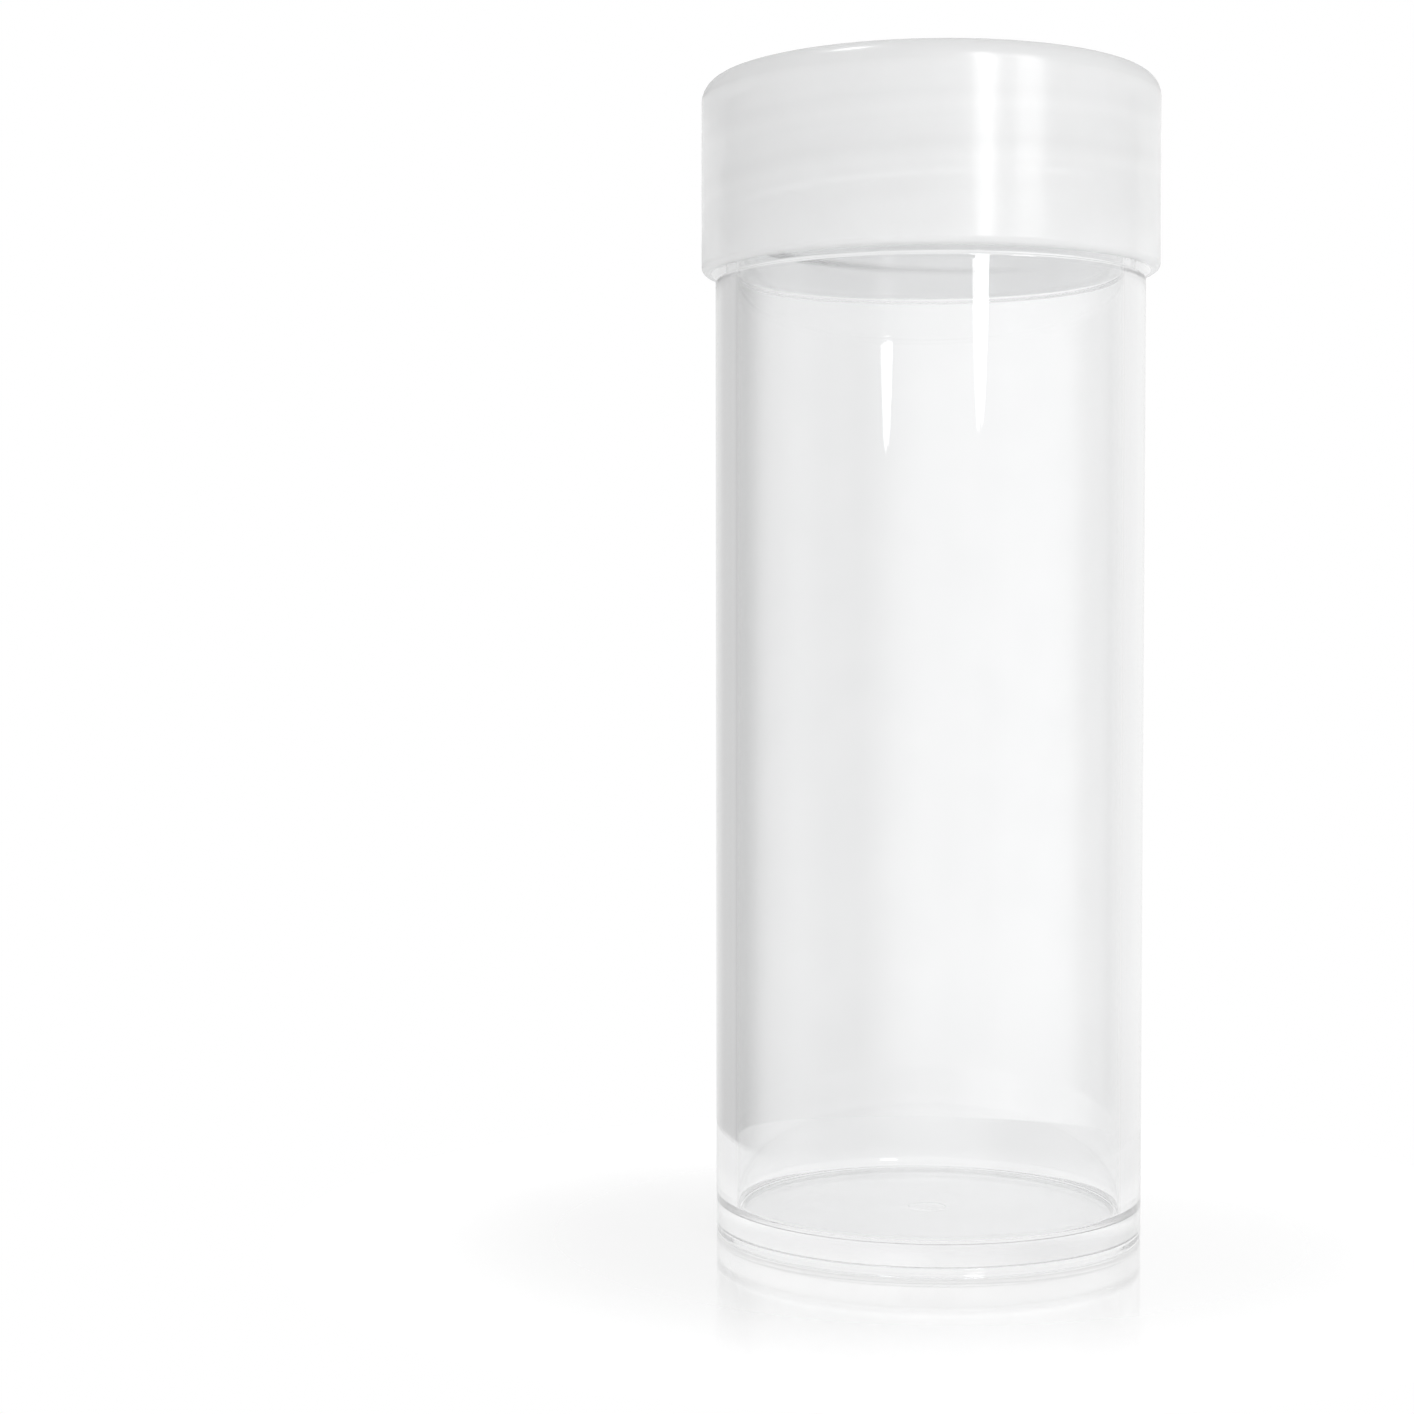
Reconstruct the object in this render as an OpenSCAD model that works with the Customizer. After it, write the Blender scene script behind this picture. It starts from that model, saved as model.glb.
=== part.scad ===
// Coin tube: a clear moulded tube with a screw cap, for one full roll of coins.
// It stands on its foot with the mouth up, and its axis is Z.
// The origin is the middle of the foot, on the surface that the tube stands on.

/* [Coins] */
// Diameter of the coins that the tube holds
coin_d = 24.26; // [15:0.01:45]
// Thickness of one coin
coin_t = 1.75; // [0.8:0.01:3.5]
// Coins in a full tube
coin_count = 40; // [10:1:60]
// Room between a coin's edge and the wall of the bore
coin_clearance = 0.22; // [0.05:0.01:0.5]
// Empty height left above a full stack
coin_headroom = 0.75; // [0:0.05:5]

/* [Tube] */
// Wall of the body beside the bore, just below the shoulder
wall_t = 1.4; // [0.8:0.05:3]
// How much narrower the body's outside is at the foot than at the shoulder, on each side
body_draft = 0.07; // [0:0.01:0.3]
// Thickness of the floor
floor_t = 1.25; // [0.6:0.05:4]
// Round where the bore's wall meets the floor
floor_round = 0.65; // [0.1:0.05:2]
// Round on the edges of the mouth
mouth_round = 0.2; // [0.05:0.05:0.35]

/* [Foot] */
// Height of the ring that the tube stands on, which is the depth of the hollow under the floor
foot_h = 0.6; // [0.2:0.05:3]
// Width of that ring
foot_w = 1.1; // [0.7:0.05:3]
// Round on the ring's outer edge
foot_round = 0.3; // [0.05:0.05:0.35]
// Round on the ring's inner edge
foot_inner_round = 0.15; // [0.05:0.05:0.3]

/* [Neck] */
// Wall of the neck that the cap goes over
neck_wall_t = 0.75; // [0.7:0.05:2.5]
// Height of the neck above the shoulder
neck_h = 11.15; // [5:0.05:20]
// Round at the root of the neck
neck_root_round = 0.25; // [0.05:0.05:0.4]

/* [Cap] */
// Room between the neck and the cap's wall, where the two threads mesh
thread_room = 0.45; // [0.2:0.05:1]
// Wall of the cap
cap_wall_t = 1.1; // [0.8:0.05:3]
// Thickness of the cap's top
cap_top_t = 1.4; // [0.8:0.05:4]
// Gap between the mouth and the cap's top when the cap is on
seat_gap = 0.1; // [0.05:0.01:0.5]
// Gap that shows between the shoulder and the cap's rim when the cap is on
rim_gap = 0.4; // [0.1:0.05:2]
// Round on the cap's top edge
cap_edge_round = 1.35; // [0.2:0.05:1.5]
// Round on the outer edge of the cap's rim
cap_rim_round = 0.45; // [0.05:0.05:0.5]
// Lead-in round on the inner edge of the cap's rim
cap_lead_round = 0.3; // [0.05:0.05:0.35]
// Round inside, where the cap's wall meets its top
cap_inner_round = 0.4; // [0.1:0.05:0.6]

/* [Gate marks] */
// Diameter of the shallow dimple that moulding leaves on the cap and under the floor
gate_d = 2.4; // [1:0.1:6]
// Depth of that dimple
gate_depth = 0.2; // [0.05:0.05:0.4]

/* [Hidden] */

// Segments of a full circle, enough for the rounds to carry over exactly
$fn = 96;
// How far a cut runs past the face that it opens
overrun = 1;

// Radii, from the coin outwards
bore_r = coin_d / 2 + coin_clearance;
neck_r = bore_r + neck_wall_t;
body_r = bore_r + wall_t;
foot_r = body_r - body_draft;
hollow_r = foot_r - foot_w;
cap_bore_r = neck_r + thread_room;
cap_r = cap_bore_r + cap_wall_t;

// Heights, from the foot upwards
floor_z = foot_h + floor_t;
cap_under_z = floor_z + coin_count * coin_t + coin_headroom;
cap_z = cap_under_z + cap_top_t;
mouth_z = cap_under_z - seat_gap;
shoulder_z = mouth_z - neck_h;
rim_z = shoulder_z + rim_gap;

// Colours, with the share of light that each plastic holds back
clear_styrene = [0.90, 0.92, 0.93, 0.35];
milky_plastic = [0.91, 0.92, 0.92, 0.75];

// What a round takes off the outer corner of a profile: the corner points to +X +Y, and
// the origin is the middle of the round
module corner_waste(r) {
    difference() {
        square(r + overrun);
        circle(r);
    }
}

// A blind hole's profile, from the axis out to r and from z up to top, with its lower
// corner rounded
module blind_hole(r, z, top, round) {
    translate([0, z + round]) square([r, top - z - round]);
    translate([0, z]) square([r - round, top - z]);
    translate([r - round, z + round]) circle(round);
}

// Half of the tube's outside: the drafted body with its round foot, and the neck
module tube_outside() {
    difference() {
        polygon([[0, 0], [foot_r, 0], [foot_r, foot_round], [body_r, shoulder_z], [0, shoulder_z]]);
        translate([foot_r - foot_round, foot_round]) mirror([0, 1]) corner_waste(foot_round);
    }
    difference() {
        square([neck_r, mouth_z]);
        translate([neck_r - mouth_round, mouth_z - mouth_round]) corner_waste(mouth_round);
    }
    neck_root();
}

// The round in the corner between the shoulder and the neck
module neck_root() {
    difference() {
        translate([neck_r, shoulder_z]) square(neck_root_round);
        translate([neck_r + neck_root_round, shoulder_z + neck_root_round]) circle(neck_root_round);
    }
}

// Half of what the tube's bore takes out, with its round lip at the mouth
module tube_bore() {
    blind_hole(bore_r, floor_z, mouth_z + overrun, floor_round);
    difference() {
        translate([0, mouth_z - mouth_round]) square([bore_r + mouth_round, mouth_round + overrun]);
        translate([bore_r + mouth_round, mouth_z - mouth_round]) circle(mouth_round);
    }
}

// Half of the hollow under the floor, inside the ring that the tube stands on
module foot_hollow() {
    translate([0, -overrun]) square([hollow_r, foot_h + overrun]);
    difference() {
        translate([0, -overrun]) square([hollow_r + foot_inner_round, foot_inner_round + overrun]);
        translate([hollow_r + foot_inner_round, foot_inner_round]) circle(foot_inner_round);
    }
}

// The dimple where the plastic went in, cut into a face at height z
module gate_mark(z) {
    translate([0, z - gate_depth]) square([gate_d / 2, 2 * gate_depth]);
}

// The clear tube: body, floor, foot and neck, moulded in one
module tube() {
    color(clear_styrene)
        rotate_extrude()
            difference() {
                tube_outside();
                tube_bore();
                foot_hollow();
                gate_mark(foot_h);
            }
}

// The milky screw cap, on the tube
module screw_cap() {
    color(milky_plastic)
        rotate_extrude()
            difference() {
                translate([0, rim_z]) square([cap_r, cap_z - rim_z]);
                translate([cap_r - cap_edge_round, cap_z - cap_edge_round])
                    corner_waste(cap_edge_round);
                translate([cap_r - cap_rim_round, rim_z + cap_rim_round])
                    mirror([0, 1]) corner_waste(cap_rim_round);
                cap_hollow();
                gate_mark(cap_z);
            }
}

// Half of what the cap is hollowed by, open at the rim
module cap_hollow() {
    translate([0, cap_under_z]) mirror([0, 1])
        blind_hole(cap_bore_r, 0, cap_under_z - rim_z + overrun, cap_inner_round);
    difference() {
        translate([0, rim_z - overrun])
            square([cap_bore_r + cap_lead_round, cap_lead_round + overrun]);
        translate([cap_bore_r + cap_lead_round, rim_z + cap_lead_round]) circle(cap_lead_round);
    }
}

tube();
screw_cap();
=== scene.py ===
import math

import bmesh
import bpy
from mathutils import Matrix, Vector


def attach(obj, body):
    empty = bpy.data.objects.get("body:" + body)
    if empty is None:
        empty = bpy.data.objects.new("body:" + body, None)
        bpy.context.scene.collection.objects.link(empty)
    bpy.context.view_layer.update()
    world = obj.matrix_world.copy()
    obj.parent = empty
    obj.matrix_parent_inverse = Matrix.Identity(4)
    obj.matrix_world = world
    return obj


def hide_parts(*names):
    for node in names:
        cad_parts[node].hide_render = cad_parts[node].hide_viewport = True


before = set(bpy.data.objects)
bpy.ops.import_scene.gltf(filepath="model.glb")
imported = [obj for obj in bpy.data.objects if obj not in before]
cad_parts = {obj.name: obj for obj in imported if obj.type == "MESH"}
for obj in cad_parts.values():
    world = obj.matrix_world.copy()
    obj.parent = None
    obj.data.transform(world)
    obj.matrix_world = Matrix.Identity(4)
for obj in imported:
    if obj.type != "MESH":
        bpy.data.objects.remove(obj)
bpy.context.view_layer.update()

MM = 0.001
FULL_TURN = 2 * math.pi

# The part's own sizes, in mm, the same as in the CAD source
FOOT_R, BODY_R, NECK_R, BORE_R = 13.68, 13.75, 13.10, 12.35
HOLLOW_R, HOLLOW_Z, FLOOR_Z = 12.58, 0.60, 1.85
SHOULDER_Z, MOUTH_Z = 61.35, 72.50
CAP_R, CAP_BORE_R = 14.65, 13.55
RIM_Z, CAP_UNDER_Z, CAP_Z = 61.75, 72.60, 74.00
GATE_R, GATE_DEPTH = 1.20, 0.20
FOOT_ROUND, FOOT_INNER_ROUND, FLOOR_ROUND = 0.30, 0.15, 0.65
NECK_ROOT_ROUND, MOUTH_ROUND = 0.25, 0.20
CAP_EDGE_ROUND, CAP_RIM_ROUND, CAP_LEAD_ROUND, CAP_INNER_ROUND = 1.35, 0.45, 0.30, 0.40

# Two small rounds that only the looks have, in mm
SHOULDER_ROUND, GATE_ROUND = 0.12, 0.07

# The meshes: faces around and on a round, and in mm the steps along plain and threaded walls,
# the narrow strip at each end of a wall that keeps it flat beside its rounds, the shortest wall
# that gets steps, and how near counts as on the axis and on a wall
SEGMENTS, ROUND_STEPS = 288, 7
STEP, THREAD_STEP = 1.5, 0.07
SUPPORT = 0.03
SHORTEST_WALL = 3 * SUPPORT
ON_AXIS, ON_WALL = 1e-6, 0.01

# The threads, in mm and turns: right-handed, one start, with the cap's just under the neck's,
# and the heights between which each wall may carry its thread
PITCH = 3.10
NECK_THREAD = dict(height=0.34, root=1.90, crest=0.20, start_z=63.7, turns=2.35, start_turn=0.10)
CAP_THREAD = dict(height=-0.34, root=1.90, crest=0.20, start_z=65.25, turns=2.0, start_turn=0.10)
RUN_OUT = 0.12
NECK_THREAD_SPAN = SHOULDER_Z + 0.3, MOUTH_Z - 0.3
CAP_THREAD_SPAN = RIM_Z + 0.4, CAP_UNDER_Z - 0.5

# The places of a Mix node's sockets when it mixes colours
MIX_SHARE, MIX_FIRST, MIX_SECOND, MIX_RESULT = 0, 6, 7, 2

# Noise, as features per metre and detail, and where most of its values lie
NOISE_LO, NOISE_HI = 0.35, 0.65
HAZE_NOISE, FLOW_NOISE = (260, 3), (150, 2)
CLOUD_NOISE, GRAIN_NOISE = (300, 4), (2600, 2)
ALONG_THE_WALL = (1, 1, 0.12)

# Clear polystyrene. Zones are in mm, from where a change begins to where it is complete
STYRENE_IOR = 1.59
STYRENE_DARK, STYRENE_LIGHT = (0.972, 0.975, 0.977), (0.986, 0.988, 0.990)
STYRENE_ROUGHNESS = 0.012, 0.035
THREAD_HAZE, THREAD_HAZE_Z, THREAD_HAZE_R = 0.20, (62.0, 62.4), (12.8, 13.0)
FLOOR_HAZE, FLOOR_HAZE_Z, FLOOR_HAZE_R = 0.12, (2.0, 2.4), (11.7, 12.3)
FLOW_BUMP, FLOW_BUMP_HEIGHT = 0.25, 0.00002

# Milky polypropylene. Alpha is the share of what is behind a face that the face holds back, and
# through is the share of its colour that is lit from behind
MILKY_IOR, MILKY_COAT_IOR, MILKY_COAT_ROUGHNESS = 1.72, 1.70, 0.18
MILKY_DARK, MILKY_LIGHT = (0.962, 0.965, 0.967), (0.978, 0.981, 0.983)
MILKY_ROUGHNESS = 0.40, 0.47
OUTSIDE_R, OUTSIDE_Z = (14.0, 14.1), (72.63, 72.68)
INNER_ALPHA, OUTER_ALPHA = 0.14, 0.64
INNER_THROUGH, OUTER_THROUGH = 0.03, 0.36
# The cap's faces hold back more on the thread's lower flank and less on its upper one, as painted light
# and shade
FLANK_PAINTED_LIGHT_ALPHA = 0.03
# The top and the outer wall just under it hold back more, and their colour is darkened by a factor as
# painted shade
TOP_ALPHA, TOP_PAINTED_SHADE, TOP_Z = 0.22, 0.84, (71.9, 72.6)
RIM_THROUGH, RIM_LIGHT_Z = 0.54, (64.2, 65.4)
GRAIN_BUMP, GRAIN_BUMP_HEIGHT = 0.2, 0.00001

# The bands of painted light and shade that stand for the thread's flanks in the milky cap: how far
# off its middle they go from full to none, in pitches, and the height in mm over which they begin and end
BAND_OFF = 0.14, 0.34
HALF_PITCH = 0.5
BAND_END = 0.8

# The floor, in metres. Its white is stronger near the foot in the gloss, a painted pool of light,
# and it mirrors less and less outwards
FLOOR_R, FLOOR_SIDES, FLOOR_DROP = 0.042, 128, 0.00002
FLOOR_MATT, FLOOR_GLOSS, FLOOR_GLOSS_ROUGHNESS = 0.86, 0.88, 0.08
FLOOR_WHITE_SHARE, FLOOR_SEEN_LEVEL = 0.75, 1.16
FLOOR_PAINTED_GLOW_LEVEL, FLOOR_FAR_LEVEL, FLOOR_LEVEL_R = 1.10, 0.88, (0.013, 0.030)
MIRROR_SHARE, MIRROR_R = 0.50, (0.018, 0.043)

# What gloss and clear plastic see around the part: a bearing in degrees from the middle of the
# backdrop, clockwise from above, and its brightness
BEARINGS = (
    (-180, 1.08), (-160, 1.04), (-140, 0.72), (-120, 0.72), (-98, 0.94), (-78, 0.80), (-62, 0.34),
    (-50, 0.44), (-38, 0.68), (-20, 0.60), (-12, 0.74), (-7, 0.83), (-3, 0.86), (0.2, 0.89),
    (2.2, 0.87), (4.2, 0.93), (5.3, 0.93), (6.8, 0.98), (8.3, 1.05), (10.3, 1.04), (20, 0.92),
    (50, 0.88), (75, 0.80), (98, 0.92), (120, 0.70), (140, 0.70), (160, 1.04), (180, 1.08),
)
HALF_CIRCLE = 180

# The same by the upward share of a direction: a level of its own overhead and underfoot, a
# bright strip just above the horizon, and slightly darker bearings just below it
OVERHEAD_LEVEL, OVERHEAD_UP = 0.87, (0.12, 0.40)
STRIP_LEVEL, STRIP_FROM_UP, STRIP_TO_UP = 1.45, (0.131, 0.140), (0.180, 0.200)
BELOW_LEVEL, BELOW_UP = 0.96, (-0.17, -0.13)
GROUND_LEVEL, GROUND_UP = 0.88, (-0.32, -0.19)

# The soft light on matt surfaces: its side, its levels away from that side and on it, and its
# factors low down and high up
SOFT_SIDE = (-0.15, -0.99, 0)
SOFT_AWAY, SOFT_ON = 0.92, 1.10
SOFT_LOW, SOFT_HIGH, SOFT_UP = 1.13, 0.84, (-0.1, 0.9)

# How far the lamps at the side stand from the axis, in metres, and the count of mirrorings that
# they are cut off at, so that they show once and not again inside the clear walls
LAMP_DISTANCE = 0.45
LAMP_MIRRORINGS = 1.5

# The camera, in metres, mm and degrees
CAMERA_PLACE = (-0.01430, -0.17631, 0.03947)
CAMERA_DOWN = 1.791
CAMERA_SENSOR, CAMERA_LENS = 36.0, 69.56
CAMERA_NEAR, CAMERA_FAR = 0.005, 10.0

# Bounces: clear walls behind clear walls need many
CLEAR_BOUNCES, MATT_BOUNCES, SEE_THROUGH_BOUNCES = 128, 32, 64
INDIRECT_CLAMP = 6.0


def smooth_step(x):
    x = min(1.0, max(0.0, x))
    return x * x * (3 - 2 * x)


def thread_lift(thread, turn, z):
    """How far a thread stands out of its wall at a share of a turn and a height, in mm."""
    lift = 0.0
    for k in range(math.ceil(thread["turns"]) + 1):
        along = turn - thread["start_turn"] + k
        if not 0 <= along <= thread["turns"]:
            continue
        ends = smooth_step(along / RUN_OUT) * smooth_step((thread["turns"] - along) / RUN_OUT)
        off = abs(z - thread["start_z"] - PITCH * along)
        flank = (thread["root"] - thread["crest"]) / 2
        lift += thread["height"] * ends * smooth_step((thread["root"] / 2 - off) / flank)
    return lift


def rounded_corner(before, corner, after, radius):
    """The points of a round on a corner, from the side of the point before it to the other."""
    back = (before - corner).normalized()
    on = (after - corner).normalized()
    half = back.angle(on) / 2
    reach = radius / math.tan(half)
    centre = corner + (back + on).normalized() * (radius / math.sin(half))
    first = corner + back * reach - centre
    last = corner + on * reach - centre
    sweep = first.angle(last)
    arc = []
    for step in range(ROUND_STEPS + 1):
        t = step / ROUND_STEPS
        spoke = (first * math.sin((1 - t) * sweep) + last * math.sin(t * sweep)) / math.sin(sweep)
        arc.append(centre + spoke)
    return arc


def rounded(corners):
    """The outline through corners (r, z, round), with each rounded and the walls between in steps.

    A fourth value is the step of the wall that follows the corner.
    """
    out = [(corners[0][0], corners[0][1])]
    for i in range(1, len(corners)):
        r, z, radius = corners[i][:3]
        arc = [Vector((r, z))]
        if i < len(corners) - 1 and radius > 0:
            arc = rounded_corner(Vector(corners[i - 1][:2]), arc[0], Vector(corners[i + 1][:2]), radius)
        start, end = Vector(out[-1]), arc[0]
        run = (end - start).length
        if run > SHORTEST_WALL:
            step = corners[i - 1][3] if len(corners[i - 1]) > 3 else STEP
            inner = run - 2 * SUPPORT
            count = max(1, round(inner / step))
            for s in range(count + 1):
                p = start + (end - start) * ((SUPPORT + inner * s / count) / run)
                out.append((p.x, p.y))
        out.extend((p.x, p.y) for p in arc)
    return out


def placed(name, bm):
    """The scene's object of a finished bmesh."""
    mesh = bpy.data.meshes.new(name)
    bm.to_mesh(mesh)
    bm.free()
    made = bpy.data.objects.new(name, mesh)
    bpy.context.scene.collection.objects.link(made)
    return made


def turned(name, outline, thread, wall_r, span):
    """A closed turned piece from an outline that starts and ends on the axis.

    Its wall at radius wall_r carries the thread between the two heights of the span.
    """
    bm = bmesh.new()
    rings = []
    for r, z in outline:
        if r < ON_AXIS:
            rings.append([bm.verts.new((0, 0, z * MM))])
            continue
        ring = []
        for s in range(SEGMENTS):
            turn = s / SEGMENTS
            lift = 0.0
            if abs(r - wall_r) < ON_WALL and span[0] < z < span[1]:
                lift = thread_lift(thread, turn, z)
            a = FULL_TURN * turn
            out = (r + lift) * MM
            ring.append(bm.verts.new((out * math.cos(a), out * math.sin(a), z * MM)))
        rings.append(ring)
    for a, b in zip(rings, rings[1:]):
        for s in range(SEGMENTS):
            t = (s + 1) % SEGMENTS
            quad = [a[s % len(a)], a[t % len(a)], b[t % len(b)], b[s % len(b)]]
            bm.faces.new(list(dict.fromkeys(quad)))
    bmesh.ops.recalc_face_normals(bm, faces=bm.faces)
    piece = placed(name, bm)
    piece.data.shade_smooth()
    return piece


def feed(tree, socket, value):
    """Links another node's output to a socket, or writes a number, colour or direction there."""
    if isinstance(value, bpy.types.NodeSocket):
        tree.links.new(value, socket)
    else:
        socket.default_value = value


def node(tree, kind, **values):
    """A node, with its sockets fed by their names and its other settings made."""
    made = tree.nodes.new(kind)
    for key, value in values.items():
        if key in made.inputs:
            feed(tree, made.inputs[key], value)
        else:
            setattr(made, key, value)
    return made


def calculated(tree, operation, *values, clamp=False):
    """A Math node on numbers and on other nodes' outputs."""
    made = node(tree, "ShaderNodeMath", operation=operation, use_clamp=clamp)
    for socket, value in zip(made.inputs, values):
        feed(tree, socket, value)
    return made.outputs[0]


def ranged(tree, source, lo, hi, span=(NOISE_LO, NOISE_HI), curve="LINEAR"):
    """From lo to hi while the source crosses a span, which by default is the one of noise."""
    made = node(tree, "ShaderNodeMapRange", interpolation_type=curve, Value=source)
    feed(tree, made.inputs["From Min"], span[0])
    feed(tree, made.inputs["From Max"], span[1])
    feed(tree, made.inputs["To Min"], lo)
    feed(tree, made.inputs["To Max"], hi)
    return made.outputs["Result"]


def zoned(tree, source, lo, hi, zone):
    """From lo to hi while a radius or height in metres crosses a zone in mm."""
    return ranged(tree, source, lo, hi, (zone[0] * MM, zone[1] * MM))


def grey(level):
    return level, level, level, 1


def blended(tree, share, first, second):
    """A colour between two, by the second one's share."""
    made = node(tree, "ShaderNodeMix", data_type="RGBA")
    feed(tree, made.inputs[MIX_SHARE], share)
    feed(tree, made.inputs[MIX_FIRST], first)
    feed(tree, made.inputs[MIX_SECOND], second)
    return made.outputs[MIX_RESULT]


def scaled(tree, colour, factor):
    return node(tree, "ShaderNodeVectorMath", operation="SCALE", Vector=colour, Scale=factor).outputs[0]


def layered(tree, share, first, second):
    """A surface between two, by the second one's share."""
    made = node(tree, "ShaderNodeMixShader")
    for socket, value in zip(made.inputs, (share, first, second)):
        feed(tree, socket, value)
    return made.outputs[0]


def noise(tree, scale, detail, stretch=(1, 1, 1)):
    """Noise in the piece's own space."""
    place = node(tree, "ShaderNodeTexCoord").outputs["Object"]
    mapping = node(tree, "ShaderNodeMapping", Vector=place, Scale=stretch)
    made = node(tree, "ShaderNodeTexNoise", Vector=mapping.outputs["Vector"], Scale=scale, Detail=detail)
    return made.outputs["Fac"]


def tinted(tree, source, dark, light):
    return blended(tree, source, (*dark, 1), (*light, 1))


def bumped(tree, source, strength, height):
    made = node(tree, "ShaderNodeBump", Strength=strength, Distance=height, Height=source)
    return made.outputs["Normal"]


def material(name):
    made = bpy.data.materials.new(name)
    made.use_nodes = True
    return made, made.node_tree, made.node_tree.nodes["Principled BSDF"].inputs


def place_parts(tree):
    """A point's three coordinates in the piece's own space, in metres."""
    place = node(tree, "ShaderNodeTexCoord").outputs["Object"]
    return node(tree, "ShaderNodeSeparateXYZ", Vector=place).outputs


def thread_bands(tree, thread):
    """From -1 on a thread's upper flank to 1 on its lower one, and 0 away from it."""
    x, y, z = place_parts(tree)
    turn = calculated(tree, "DIVIDE", calculated(tree, "ARCTAN2", y, x), FULL_TURN)
    rise = calculated(tree, "DIVIDE", z, PITCH * MM)
    start = thread["start_z"] / PITCH - thread["start_turn"]
    phase = calculated(tree, "SUBTRACT", calculated(tree, "SUBTRACT", rise, turn), start)
    off = calculated(tree, "PINGPONG", phase, HALF_PITCH)
    flank = calculated(tree, "SINE", calculated(tree, "MULTIPLY", phase, -FULL_TURN))
    near = calculated(tree, "MULTIPLY", flank, ranged(tree, off, 1, 0, BAND_OFF))
    bottom = thread["start_z"]
    top = bottom + PITCH * thread["turns"]
    begins = zoned(tree, z, 0, 1, (bottom, bottom + BAND_END))
    ends = zoned(tree, z, 1, 0, (top - BAND_END, top))
    return calculated(tree, "MULTIPLY", near, calculated(tree, "MULTIPLY", begins, ends))


def radius_and_z(tree):
    """Distance from the piece's axis and height, in metres."""
    x, y, z = place_parts(tree)
    flat = node(tree, "ShaderNodeCombineXYZ", X=x, Y=y)
    radius = node(tree, "ShaderNodeVectorMath", operation="LENGTH", Vector=flat.outputs[0])
    return radius.outputs["Value"], z


def clear_styrene():
    """Polished clear polystyrene, hazy on the neck's thread and on the floor of the bore.

    Faint flow lines run along its wall.
    """
    made, tree, surface = material("clear_styrene_gloss")
    surface["Transmission Weight"].default_value = 1.0
    surface["IOR"].default_value = STYRENE_IOR
    haze = noise(tree, *HAZE_NOISE)
    feed(tree, surface["Base Color"], tinted(tree, ranged(tree, haze, 0, 1), STYRENE_DARK, STYRENE_LIGHT))
    radius, z = radius_and_z(tree)
    threaded = calculated(tree, "MULTIPLY", zoned(tree, z, 0, THREAD_HAZE, THREAD_HAZE_Z),
                          zoned(tree, radius, 0, 1, THREAD_HAZE_R))
    floored = calculated(tree, "MULTIPLY", zoned(tree, z, FLOOR_HAZE, 0, FLOOR_HAZE_Z),
                         zoned(tree, radius, 1, 0, FLOOR_HAZE_R))
    dull = calculated(tree, "ADD", threaded, floored)
    feed(tree, surface["Roughness"], calculated(tree, "ADD", dull, ranged(tree, haze, *STYRENE_ROUGHNESS)))
    flow = noise(tree, *FLOW_NOISE, ALONG_THE_WALL)
    feed(tree, surface["Normal"], bumped(tree, flow, FLOW_BUMP, FLOW_BUMP_HEIGHT))
    return made


def milky_plastic():
    """Natural polypropylene: milky outer faces that pass on some light, and nearly clear inner ones.

    The thicker top and the wall just under it hold back more of what is behind them, and there the
    colour is darkened as painted shade. Seen from inside, the wall near the rim passes on more of
    the light around the cap. The thread's flanks show as faint bands of painted light and shade.
    """
    made, tree, surface = material("milky_polypropylene")
    surface["IOR"].default_value = MILKY_IOR
    surface["Coat Weight"].default_value = 1.0
    surface["Coat Roughness"].default_value = MILKY_COAT_ROUGHNESS
    surface["Coat IOR"].default_value = MILKY_COAT_IOR
    radius, z = radius_and_z(tree)
    outside = calculated(tree, "MAXIMUM", zoned(tree, radius, 0, 1, OUTSIDE_R),
                         zoned(tree, z, 0, 1, OUTSIDE_Z))
    held_back = ranged(tree, outside, INNER_ALPHA, OUTER_ALPHA, (0, 1))
    # Painted light and shade of the thread's flanks: alpha is raised on the lower flank and lowered on the
    # upper one
    with_painted_flank_bands = calculated(tree, "MULTIPLY_ADD", thread_bands(tree, CAP_THREAD), FLANK_PAINTED_LIGHT_ALPHA, held_back)
    thick_top_and_painted_shade = calculated(tree, "MULTIPLY", outside, zoned(tree, z, 0, 1, TOP_Z))
    feed(tree, surface["Alpha"], calculated(tree, "MULTIPLY_ADD", thick_top_and_painted_shade, TOP_ALPHA, with_painted_flank_bands))
    cloud = noise(tree, *CLOUD_NOISE)
    plain = tinted(tree, ranged(tree, cloud, 0, 1), MILKY_DARK, MILKY_LIGHT)
    # Painted shade: the colour is darker on the top and on the outer wall just under it
    tint = scaled(tree, plain, ranged(tree, thick_top_and_painted_shade, 1, TOP_PAINTED_SHADE, (0, 1)))
    feed(tree, surface["Base Color"], tint)
    feed(tree, surface["Roughness"], ranged(tree, cloud, *MILKY_ROUGHNESS))
    grain = noise(tree, *GRAIN_NOISE)
    feed(tree, surface["Normal"], bumped(tree, grain, GRAIN_BUMP, GRAIN_BUMP_HEIGHT))
    behind = node(tree, "ShaderNodeNewGeometry").outputs["Backfacing"]
    from_inside = calculated(tree, "MULTIPLY", outside, behind)
    share = calculated(tree, "MULTIPLY_ADD", from_inside, zoned(tree, z, RIM_THROUGH, 0, RIM_LIGHT_Z),
                       ranged(tree, outside, INNER_THROUGH, OUTER_THROUGH, (0, 1)))
    through = node(tree, "ShaderNodeBsdfTranslucent", Color=tint)
    both = layered(tree, share, tree.nodes["Principled BSDF"].outputs[0], through.outputs[0])
    feed(tree, tree.nodes["Material Output"].inputs["Surface"], both)
    return made


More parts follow.
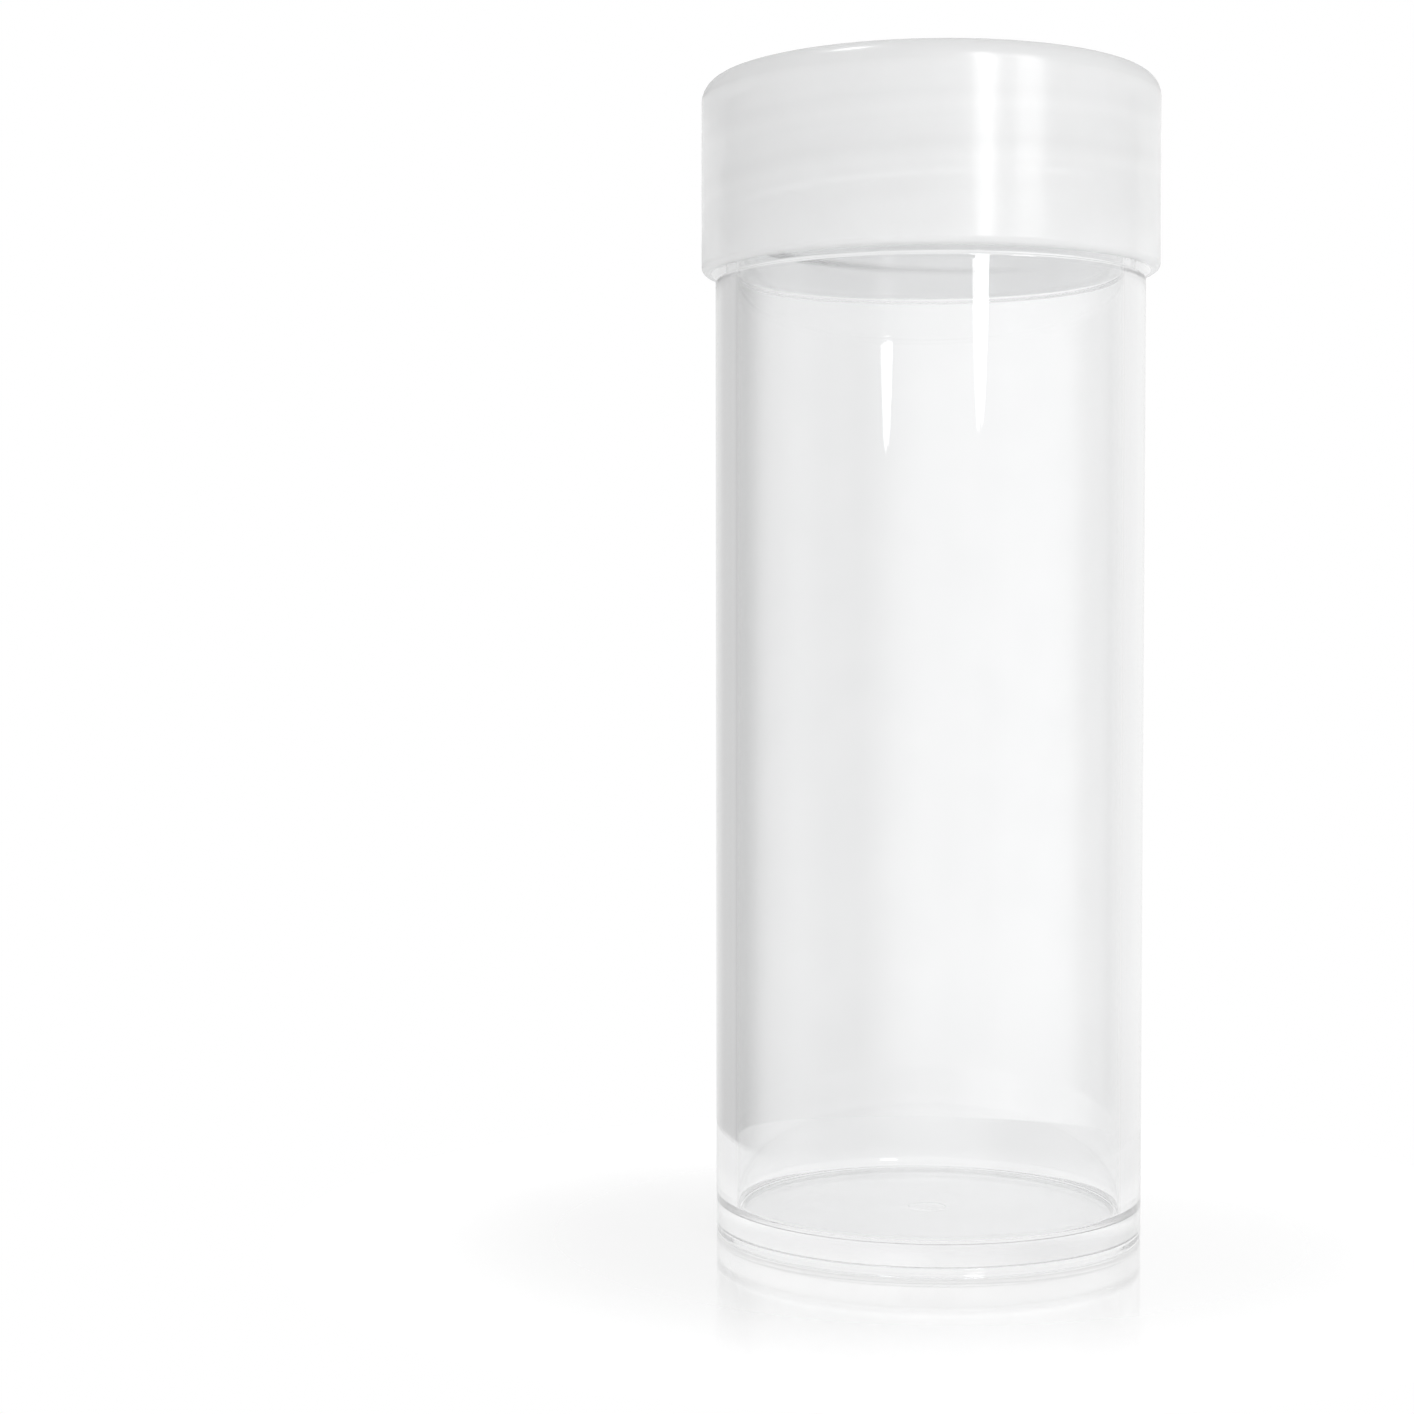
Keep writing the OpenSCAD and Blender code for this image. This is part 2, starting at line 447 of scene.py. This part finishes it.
def build_tube():
    outline = rounded([
        (0, HOLLOW_Z + GATE_DEPTH, 0),
        (GATE_R, HOLLOW_Z + GATE_DEPTH, GATE_ROUND),
        (GATE_R, HOLLOW_Z, GATE_ROUND),
        (HOLLOW_R, HOLLOW_Z, FOOT_INNER_ROUND),
        (HOLLOW_R, 0, FOOT_INNER_ROUND),
        (FOOT_R, 0, FOOT_ROUND),
        (BODY_R, SHOULDER_Z, SHOULDER_ROUND),
        (NECK_R, SHOULDER_Z, NECK_ROOT_ROUND, THREAD_STEP),
        (NECK_R, MOUTH_Z, MOUTH_ROUND),
        (BORE_R, MOUTH_Z, MOUTH_ROUND),
        (BORE_R, FLOOR_Z, FLOOR_ROUND),
        (0, FLOOR_Z, 0),
    ])
    piece = turned("clear_tube", outline, NECK_THREAD, NECK_R, NECK_THREAD_SPAN)
    piece.data.materials.append(clear_styrene())
    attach(piece, "tube")
    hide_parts("tube")


def build_cap():
    outline = rounded([
        (0, CAP_Z - GATE_DEPTH, 0),
        (GATE_R, CAP_Z - GATE_DEPTH, GATE_ROUND),
        (GATE_R, CAP_Z, GATE_ROUND),
        (CAP_R, CAP_Z, CAP_EDGE_ROUND),
        (CAP_R, RIM_Z, CAP_RIM_ROUND),
        (CAP_BORE_R, RIM_Z, CAP_LEAD_ROUND, THREAD_STEP),
        (CAP_BORE_R, CAP_UNDER_Z, CAP_INNER_ROUND),
        (0, CAP_UNDER_Z, 0),
    ])
    piece = turned("milky_cap", outline, CAP_THREAD, CAP_BORE_R, CAP_THREAD_SPAN)
    piece.data.materials.append(milky_plastic())
    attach(piece, "cap")
    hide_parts("screw_cap")


def floor_white():
    """White to the camera, to gloss and through the clear plastic, and matt to the rest.

    It keeps the shadow, and mirrors what stands on it close by. To gloss and through the clear
    plastic its white is brighter near the foot, a painted pool of light.
    """
    made = bpy.data.materials.new("floor_white")
    made.use_nodes = True
    tree = made.node_tree
    tree.nodes.clear()
    path = node(tree, "ShaderNodeLightPath").outputs
    place = node(tree, "ShaderNodeTexCoord").outputs["Object"]
    out_from_foot = node(tree, "ShaderNodeVectorMath", operation="LENGTH", Vector=place).outputs["Value"]
    matt = node(tree, "ShaderNodeBsdfDiffuse", Color=grey(FLOOR_MATT)).outputs[0]
    gloss = node(tree, "ShaderNodeBsdfGlossy", Color=grey(FLOOR_GLOSS), Roughness=FLOOR_GLOSS_ROUGHNESS)
    # Painted pool of light: to gloss and through the clear plastic the floor glows brighter near the foot
    indirect_with_painted_glow = ranged(tree, out_from_foot, FLOOR_PAINTED_GLOW_LEVEL, FLOOR_FAR_LEVEL, FLOOR_LEVEL_R)
    level = ranged(tree, path["Is Camera Ray"], indirect_with_painted_glow, FLOOR_SEEN_LEVEL, (0, 1))
    white = node(tree, "ShaderNodeEmission", Color=grey(1), Strength=level)
    seen = layered(tree, FLOOR_WHITE_SHARE, matt, white.outputs[0])
    fade = ranged(tree, out_from_foot, MIRROR_SHARE, 0, MIRROR_R, "SMOOTHSTEP")
    near = calculated(tree, "MULTIPLY", fade, path["Is Camera Ray"])
    mirrored = layered(tree, near, seen, gloss.outputs[0])
    direct = calculated(tree, "ADD", path["Is Camera Ray"], path["Is Glossy Ray"])
    shown = calculated(tree, "ADD", direct, path["Is Transmission Ray"], clamp=True)
    top = layered(tree, shown, matt, mirrored)
    # Clear from below, so that the foot can be looked at
    below = node(tree, "ShaderNodeNewGeometry").outputs["Backfacing"]
    both = layered(tree, below, top, node(tree, "ShaderNodeBsdfTransparent").outputs[0])
    node(tree, "ShaderNodeOutputMaterial", Surface=both)
    return made


def build_floor():
    bm = bmesh.new()
    bmesh.ops.create_circle(bm, cap_ends=True, radius=FLOOR_R, segments=FLOOR_SIDES)
    floor = placed("floor", bm)
    floor.location.z = -FLOOR_DROP
    floor.data.materials.append(floor_white())


def backdrop(tree, direction, up):
    """What gloss and clear plastic see around the part."""
    parts = node(tree, "ShaderNodeSeparateXYZ", Vector=direction).outputs
    bearing = calculated(tree, "ARCTAN2", parts["X"], parts["Y"])
    turn = ranged(tree, bearing, 0, 1, (-math.pi, math.pi))
    ramp = node(tree, "ShaderNodeValToRGB", Fac=turn)
    stops = ramp.color_ramp.elements
    for degrees, level in BEARINGS[1:-1]:
        stops.new((degrees + HALF_CIRCLE) / (2 * HALF_CIRCLE)).color = grey(level)
    stops[0].color = grey(BEARINGS[0][1])
    stops[-1].color = grey(BEARINGS[-1][1])
    around = scaled(tree, ramp.outputs["Color"], ranged(tree, up, BELOW_LEVEL, 1, BELOW_UP))
    overhead = ranged(tree, up, 0, 1, OVERHEAD_UP, "SMOOTHSTEP")
    sky = blended(tree, overhead, around, grey(OVERHEAD_LEVEL))
    in_strip = calculated(tree, "MULTIPLY", ranged(tree, up, 0, 1, STRIP_FROM_UP),
                          ranged(tree, up, 1, 0, STRIP_TO_UP))
    stripped = blended(tree, in_strip, sky, grey(STRIP_LEVEL))
    return blended(tree, ranged(tree, up, 1, 0, GROUND_UP), stripped, grey(GROUND_LEVEL))


def soft_light(tree, direction, up):
    """What matt surfaces are lit by: even light, a little stronger from one side and from low down."""
    side = node(tree, "ShaderNodeVectorMath", operation="DOT_PRODUCT")
    feed(tree, side.inputs[0], direction)
    feed(tree, side.inputs[1], SOFT_SIDE)
    fill = ranged(tree, side.outputs["Value"], SOFT_AWAY, SOFT_ON, (-1, 1))
    return calculated(tree, "MULTIPLY", fill, ranged(tree, up, SOFT_LOW, SOFT_HIGH, SOFT_UP))


def build_world():
    """White to the camera, the backdrop to gloss and through clear plastic, and soft light to the rest."""
    world = bpy.data.worlds.new("studio")
    bpy.context.scene.world = world
    world.use_nodes = True
    tree = world.node_tree
    tree.nodes.clear()
    direction = node(tree, "ShaderNodeTexCoord").outputs["Generated"]
    up = node(tree, "ShaderNodeSeparateXYZ", Vector=direction).outputs["Z"]
    path = node(tree, "ShaderNodeLightPath").outputs
    mirrored = calculated(tree, "ADD", path["Is Glossy Ray"], path["Is Transmission Ray"], clamp=True)
    lit = blended(tree, mirrored, soft_light(tree, direction, up), backdrop(tree, direction, up))
    seen = blended(tree, path["Is Camera Ray"], lit, grey(1))
    background = node(tree, "ShaderNodeBackground", Color=seen, Strength=1.0)
    node(tree, "ShaderNodeOutputWorld", Surface=background.outputs[0])


def lamp(name, bearing, low, high, width, level, distance=LAMP_DISTANCE):
    """A soft upright lamp that neither the camera nor the clear plastic shows directly.

    The bearing is in degrees from the camera's side, its ends' heights and its width are in mm,
    and the level is its brightness.
    """
    data = bpy.data.lights.new(name, "AREA")
    data.shape = "ELLIPSE"
    data.size = width * MM
    data.size_y = (high - low) * MM
    area = math.pi * data.size * data.size_y / 4
    data.energy = level * math.pi * area
    data.use_nodes = True
    tree = data.node_tree
    mirrored = node(tree, "ShaderNodeLightPath").outputs["Glossy Depth"]
    once = calculated(tree, "LESS_THAN", mirrored, LAMP_MIRRORINGS)
    feed(tree, tree.nodes["Emission"].inputs["Strength"], once)
    made = bpy.data.objects.new(name, data)
    bpy.context.scene.collection.objects.link(made)
    a = math.radians(bearing)
    made.location = (distance * math.sin(a), -distance * math.cos(a), (low + high) / 2 * MM)
    made.rotation_euler = (math.pi / 2, 0, a)
    made.visible_camera = False
    made.visible_transmission = False
    return made


def build_lamps():
    """Two lamps for the streaks on the wall and the cap, and one above for the cap's top edge."""
    right = lamp("lamp_right", bearing=22.3, low=82, high=420, width=93, level=7.0)
    right.visible_transmission = True
    far_right = lamp("lamp_far_right", bearing=44.5, low=122, high=330, width=112, level=5.6)
    far_right.data.shape = "RECTANGLE"
    top = lamp("lamp_top", bearing=-90, low=450, high=510, width=90, level=16.0, distance=0.167)
    top.rotation_euler = (0, 0, 0)
    top.visible_diffuse = False


def build_camera():
    data = bpy.data.cameras.new("camera")
    data.sensor_width = CAMERA_SENSOR
    data.lens = CAMERA_LENS
    data.clip_start = CAMERA_NEAR
    data.clip_end = CAMERA_FAR
    made = bpy.data.objects.new("camera", data)
    bpy.context.scene.collection.objects.link(made)
    made.location = CAMERA_PLACE
    made.rotation_euler = (math.radians(90 - CAMERA_DOWN), 0, 0)
    bpy.context.scene.camera = made


def set_up_render():
    scene = bpy.context.scene
    scene.view_settings.view_transform = "Standard"
    scene.cycles.use_denoising = True
    scene.cycles.max_bounces = CLEAR_BOUNCES
    scene.cycles.transmission_bounces = CLEAR_BOUNCES
    scene.cycles.glossy_bounces = CLEAR_BOUNCES
    scene.cycles.diffuse_bounces = MATT_BOUNCES
    scene.cycles.transparent_max_bounces = SEE_THROUGH_BOUNCES
    scene.cycles.sample_clamp_indirect = INDIRECT_CLAMP


build_camera()
build_world()
build_floor()
build_tube()
build_cap()
build_lamps()
set_up_render()
